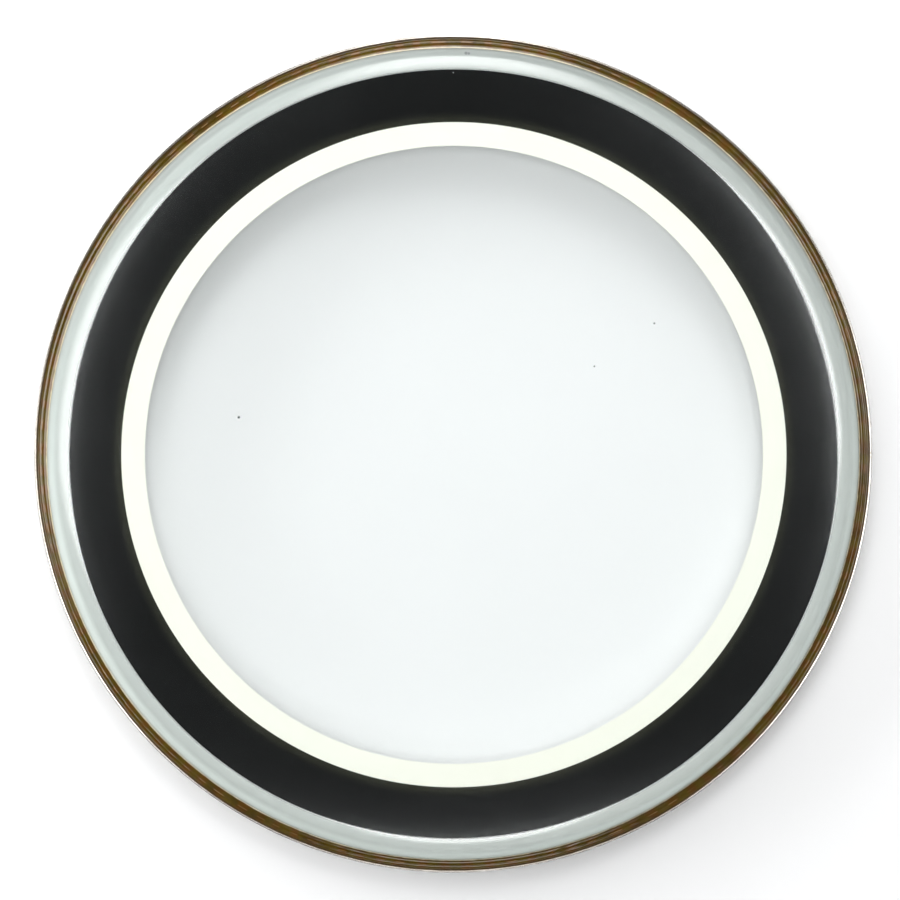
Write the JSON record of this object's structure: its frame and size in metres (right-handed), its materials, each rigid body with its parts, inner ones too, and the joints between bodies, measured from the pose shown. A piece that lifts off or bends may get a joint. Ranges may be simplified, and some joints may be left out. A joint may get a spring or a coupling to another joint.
{
  "type": "drum head",
  "caption": "Clear drum head: thin film with a rounded collar, its rim cast in resin in an aluminium channel hoop, with a black muffling ring taped under the film near the edge.",
  "frame": {"origin": "centre of the hoop's bottom face, on the drum's axis", "axes": "+Z along the drum's axis, from the hoop up to the playing surface; the part is turned about Z, and +Y is up in the picture"},
  "size_m": [0.3726, 0.3726, 0.0204],
  "materials": {
    "hoop_aluminium": "satin, rolled",
    "clear_film": "clear gloss",
    "amber_resin": "glossy, cast",
    "black_film": "satin",
    "cream_tape": "matte"
  },
  "bodies": {
    "root": {"hoop_channel": "hoop_aluminium", "drum_film": "clear_film", "resin_lock_ring": "amber_resin", "muffling_ring": "black_film", "bonding_tape_ring": "cream_tape"}
  },
  "joints": []
}
